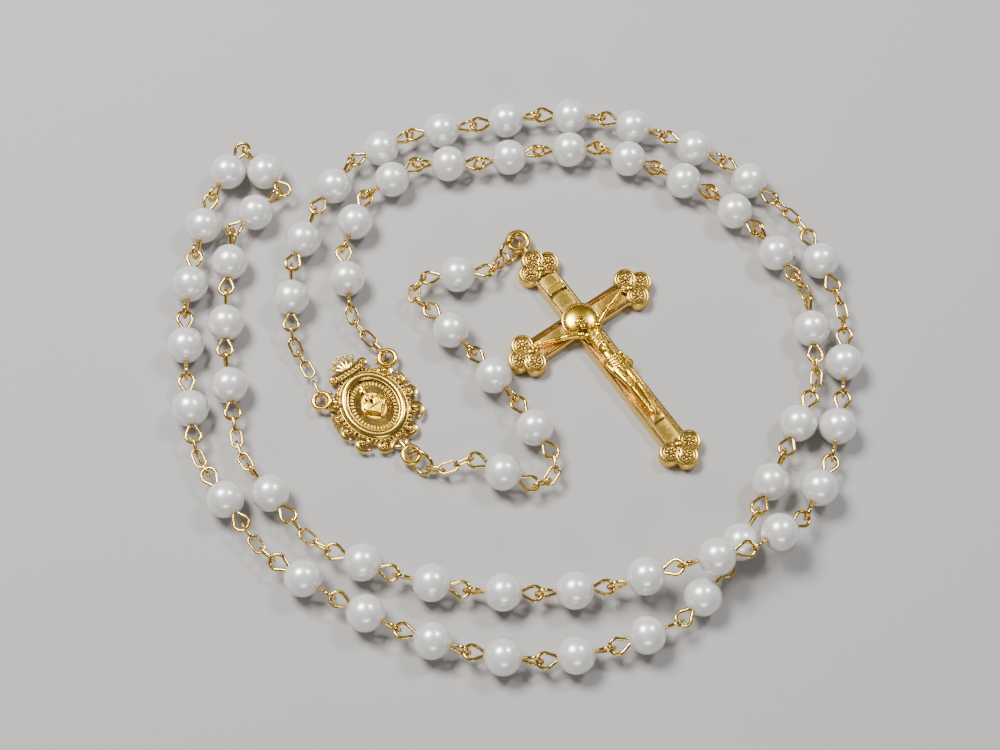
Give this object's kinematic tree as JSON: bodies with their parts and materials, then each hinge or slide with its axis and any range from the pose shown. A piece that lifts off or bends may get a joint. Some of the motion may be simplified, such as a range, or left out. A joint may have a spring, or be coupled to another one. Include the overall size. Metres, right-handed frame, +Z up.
{
  "type": "rosary",
  "caption": "Rosary of pearl beads on gilt wire eye pins and short chains, with an oval centre medal and a budded crucifix, lying in loose loops.",
  "frame": {"origin": "centre of the lay's bounding box, on the surface it lies on", "axes": "+X along the long side of the lay, +Y across it, +Z up from the surface"},
  "size_m": [0.1125, 0.0999, 0.0099],
  "materials": {
    "pearl": "imitation pearl coat over a moulded bead, soft lustre",
    "wire_gold": "bright gold plate on wire",
    "medal_gold": "gold plate on a cast plate, darker in the recesses",
    "crucifix_gold": "gold plate on a cast cross, darker in the recesses"
  },
  "bodies": {
    "centre_medal": {"centre_medal": "medal_gold", "left_eye_link": "wire_gold"},
    "loop_chain_1": {"loop_chain_1": "wire_gold"},
    "decade_1a": {"decade_1a_beads": "pearl", "decade_1a_pins": "wire_gold"},
    "decade_1b": {"decade_1b_beads": "pearl", "decade_1b_pins": "wire_gold"},
    "loop_chain_2": {"loop_chain_2": "wire_gold"},
    "our_father_1": {"our_father_1_bead": "pearl", "our_father_1_pin": "wire_gold"},
    "loop_chain_3": {"loop_chain_3": "wire_gold"},
    "decade_2a": {"decade_2a_beads": "pearl", "decade_2a_pins": "wire_gold"},
    "decade_2b": {"decade_2b_beads": "pearl", "decade_2b_pins": "wire_gold"},
    "loop_chain_4": {"loop_chain_4": "wire_gold"},
    "our_father_2": {"our_father_2_bead": "pearl", "our_father_2_pin": "wire_gold"},
    "loop_chain_5": {"loop_chain_5": "wire_gold"},
    "decade_3a": {"decade_3a_beads": "pearl", "decade_3a_pins": "wire_gold"},
    "decade_3b": {"decade_3b_beads": "pearl", "decade_3b_pins": "wire_gold"},
    "loop_chain_6": {"loop_chain_6": "wire_gold"},
    "our_father_3": {"our_father_3_bead": "pearl", "our_father_3_pin": "wire_gold"},
    "loop_chain_7": {"loop_chain_7": "wire_gold"},
    "decade_4a": {"decade_4a_beads": "pearl", "decade_4a_pins": "wire_gold"},
    "decade_4b": {"decade_4b_beads": "pearl", "decade_4b_pins": "wire_gold"},
    "loop_chain_8": {"loop_chain_8": "wire_gold"},
    "our_father_4": {"our_father_4_bead": "pearl", "our_father_4_pin": "wire_gold"},
    "loop_chain_9": {"loop_chain_9": "wire_gold"},
    "decade_5a": {"decade_5a_beads": "pearl", "decade_5a_pins": "wire_gold"},
    "decade_5b": {"decade_5b_beads": "pearl", "decade_5b_pins": "wire_gold"},
    "loop_chain_10": {"loop_chain_10": "wire_gold"},
    "medal_ring": {"medal_ring": "wire_gold"},
    "pendant_chain_1": {"pendant_chain_1": "wire_gold"},
    "pendant_our_father_1": {"pendant_our_father_1_bead": "pearl", "pendant_our_father_1_pin": "wire_gold"},
    "pendant_chain_2": {"pendant_chain_2": "wire_gold"},
    "hail_mary_1": {"hail_mary_1_bead": "pearl", "hail_mary_1_pin": "wire_gold"},
    "hail_mary_2": {"hail_mary_2_bead": "pearl", "hail_mary_2_pin": "wire_gold"},
    "hail_mary_3": {"hail_mary_3_bead": "pearl", "hail_mary_3_pin": "wire_gold"},
    "pendant_chain_3": {"pendant_chain_3": "wire_gold"},
    "pendant_our_father_2": {"pendant_our_father_2_bead": "pearl", "pendant_our_father_2_pin": "wire_gold"},
    "pendant_chain_4": {"pendant_chain_4": "wire_gold"},
    "crucifix_ring": {"crucifix_ring": "wire_gold"},
    "crucifix": {"crucifix": "crucifix_gold"}
  },
  "joints": [
    {"name": "loop_chain_1_bend", "type": "hinge", "parent": "centre_medal", "child": "loop_chain_1", "pos_m": [-0.02098, 0.00327, 0.0016], "axis": [0.734, 0.6791, 0], "range_deg": [0, 10]},
    {"name": "decade_1a_bend", "type": "hinge", "parent": "loop_chain_1", "child": "decade_1a", "pos_m": [-0.0267, 0.0108, 0.003], "axis": [0.9908, 0.1351, 0], "range_deg": [0, 20]},
    {"name": "decade_1b_bend", "type": "hinge", "parent": "decade_1a", "child": "decade_1b", "pos_m": [0.0043, 0.0403, 0.003], "axis": [0.0476, -0.9989, 0], "range_deg": [0, 20]},
    {"name": "loop_chain_2_bend", "type": "hinge", "parent": "decade_1b", "child": "loop_chain_2", "pos_m": [0.0463, 0.0168, 0.003], "axis": [-0.8169, -0.5767, 0], "range_deg": [0, 10]},
    {"name": "our_father_1_bend", "type": "hinge", "parent": "loop_chain_2", "child": "our_father_1", "pos_m": [0.0483, 0.0128, 0.003], "axis": [-0.999, -0.0454, 0], "range_deg": [0, 14]},
    {"name": "loop_chain_3_bend", "type": "hinge", "parent": "our_father_1", "child": "loop_chain_3", "pos_m": [0.0488, 0.0018, 0.003], "axis": [-0.9996, -0.0286, 0], "range_deg": [0, 10]},
    {"name": "decade_2a_bend", "type": "hinge", "parent": "loop_chain_3", "child": "decade_2a", "pos_m": [0.0478, -0.0042, 0.003], "axis": [-0.8944, 0.4472, 0], "range_deg": [0, 20]},
    {"name": "decade_2b_bend", "type": "hinge", "parent": "decade_2a", "child": "decade_2b", "pos_m": [0.0148, -0.0457, 0.003], "axis": [0.1789, -0.9839, 0], "range_deg": [0, 20]},
    {"name": "loop_chain_4_bend", "type": "hinge", "parent": "decade_2b", "child": "loop_chain_4", "pos_m": [-0.0372, -0.0317, 0.003], "axis": [-0.6258, -0.78, 0], "range_deg": [0, 10]},
    {"name": "our_father_2_bend", "type": "hinge", "parent": "loop_chain_4", "child": "our_father_2", "pos_m": [-0.0422, -0.0262, 0.003], "axis": [-0.817, -0.5767, 0], "range_deg": [0, 14]},
    {"name": "loop_chain_5_bend", "type": "hinge", "parent": "our_father_2", "child": "loop_chain_5", "pos_m": [-0.0482, -0.0177, 0.003], "axis": [-0.8274, -0.5617, 0], "range_deg": [0, 10]},
    {"name": "decade_3a_bend", "type": "hinge", "parent": "loop_chain_5", "child": "decade_3a", "pos_m": [-0.0507, -0.0122, 0.003], "axis": [-0.9839, -0.1789, 0], "range_deg": [0, 20]},
    {"name": "decade_3b_bend", "type": "hinge", "parent": "decade_3a", "child": "decade_3b", "pos_m": [-0.0457, 0.0403, 0.003], "axis": [-0.7295, -0.6839, 0], "range_deg": [0, 20]},
    {"name": "loop_chain_6_bend", "type": "hinge", "parent": "decade_3b", "child": "loop_chain_6", "pos_m": [-0.0447, -0.0082, 0.003], "axis": [-0.9855, -0.1697, 0], "range_deg": [0, 10]},
    {"name": "our_father_3_bend", "type": "hinge", "parent": "loop_chain_6", "child": "our_father_3", "pos_m": [-0.0417, -0.0167, 0.003], "axis": [-0.7719, -0.6357, 0], "range_deg": [0, 14]},
    {"name": "loop_chain_7_bend", "type": "hinge", "parent": "our_father_3", "child": "loop_chain_7", "pos_m": [-0.0347, -0.0252, 0.003], "axis": [-0.7526, -0.6585, 0], "range_deg": [0, 10]},
    {"name": "decade_4a_bend", "type": "hinge", "parent": "loop_chain_7", "child": "decade_4a", "pos_m": [-0.0287, -0.0302, 0.003], "axis": [-0.356, -0.9345, 0], "range_deg": [0, 20]},
    {"name": "decade_4b_bend", "type": "hinge", "parent": "decade_4a", "child": "decade_4b", "pos_m": [0.0253, -0.0337, 0.0064], "axis": [0.2216, -0.9751, 0], "range_deg": [0, 20]},
    {"name": "loop_chain_8_bend", "type": "hinge", "parent": "decade_4b", "child": "loop_chain_8", "pos_m": [0.0538, 0.0068, 0.003], "axis": [0.9997, -0.0244, 0], "range_deg": [0, 10]},
    {"name": "our_father_4_bend", "type": "hinge", "parent": "loop_chain_8", "child": "our_father_4", "pos_m": [0.0528, 0.0143, 0.003], "axis": [0.9345, 0.356, 0], "range_deg": [0, 14]},
    {"name": "loop_chain_9_bend", "type": "hinge", "parent": "our_father_4", "child": "loop_chain_9", "pos_m": [0.0488, 0.0248, 0.003], "axis": [0.8698, 0.4934, 0], "range_deg": [0, 10]},
    {"name": "decade_5a_bend", "type": "hinge", "parent": "loop_chain_9", "child": "decade_5a", "pos_m": [0.0438, 0.0308, 0.003], "axis": [0.6839, 0.7295, 0], "range_deg": [0, 20]},
    {"name": "decade_5b_bend", "type": "hinge", "parent": "decade_5a", "child": "decade_5b", "pos_m": [-0.0067, 0.0453, 0.003], "axis": [-0.1789, 0.9839, 0], "range_deg": [0, 20]},
    {"name": "loop_chain_10_bend", "type": "hinge", "parent": "decade_5b", "child": "loop_chain_10", "pos_m": [-0.0362, 0.0073, 0.003], "axis": [-0.9851, -0.1718, 0], "range_deg": [0, 10]},
    {"name": "medal_ring_bend", "type": "hinge", "parent": "centre_medal", "child": "medal_ring", "pos_m": [-0.01627, -0.01408, 0.0016], "axis": [0.4701, 0.5602, 0.682], "range_deg": [0, 10]},
    {"name": "pendant_chain_1_bend", "type": "hinge", "parent": "medal_ring", "child": "pendant_chain_1", "pos_m": [-0.01347, -0.01642, 0.0016], "axis": [-0.1882, -0.9821, 0], "range_deg": [0, 8]},
    {"name": "pendant_our_father_1_bend", "type": "hinge", "parent": "pendant_chain_1", "child": "pendant_our_father_1", "pos_m": [-0.0067, -0.0152, 0.003], "axis": [-0.4104, -0.9119, 0], "range_deg": [0, 10]},
    {"name": "pendant_chain_2_bend", "type": "hinge", "parent": "pendant_our_father_1", "child": "pendant_chain_2", "pos_m": [0.0033, -0.0197, 0.003], "axis": [0.3786, -0.9255, 0], "range_deg": [0, 8]},
    {"name": "hail_mary_1_bend", "type": "hinge", "parent": "pendant_chain_2", "child": "hail_mary_1", "pos_m": [0.0063, -0.0147, 0.003], "axis": [0.8455, 0.534, 0], "range_deg": [0, 12]},
    {"name": "hail_mary_2_bend", "type": "hinge", "parent": "hail_mary_1", "child": "hail_mary_2", "pos_m": [0.0003, -0.0052, 0.003], "axis": [0.7719, 0.6357, 0], "range_deg": [0, 12]},
    {"name": "hail_mary_3_bend", "type": "hinge", "parent": "hail_mary_2", "child": "hail_mary_3", "pos_m": [-0.0067, 0.0033, 0.003], "axis": [0.7311, 0.6823, 0], "range_deg": [0, 12]},
    {"name": "pendant_chain_3_bend", "type": "hinge", "parent": "hail_mary_3", "child": "pendant_chain_3", "pos_m": [-0.0137, 0.0108, 0.003], "axis": [0.5692, 0.8222, 0], "range_deg": [0, 8]},
    {"name": "pendant_our_father_2_bend", "type": "hinge", "parent": "pendant_chain_3", "child": "pendant_our_father_2", "pos_m": [-0.0147, 0.0163, 0.003], "axis": [0.1351, -0.9908, 0], "range_deg": [0, 10]},
    {"name": "pendant_chain_4_bend", "type": "hinge", "parent": "pendant_our_father_2", "child": "pendant_chain_4", "pos_m": [-0.0037, 0.0178, 0.003], "axis": [0.824, -0.5665, 0], "range_deg": [0, 8]},
    {"name": "crucifix_ring_bend", "type": "hinge", "parent": "pendant_chain_4", "child": "crucifix_ring", "pos_m": [-0.00146, 0.0209, 0.0016], "axis": [-0.5763, 0.4503, 0.682], "range_deg": [0, 10]},
    {"name": "crucifix_bend", "type": "hinge", "parent": "crucifix_ring", "child": "crucifix", "pos_m": [0.00079, 0.02378, 0.0016], "axis": [-0.8192, -0.5736, 0], "range_deg": [0, 30]}
  ]
}
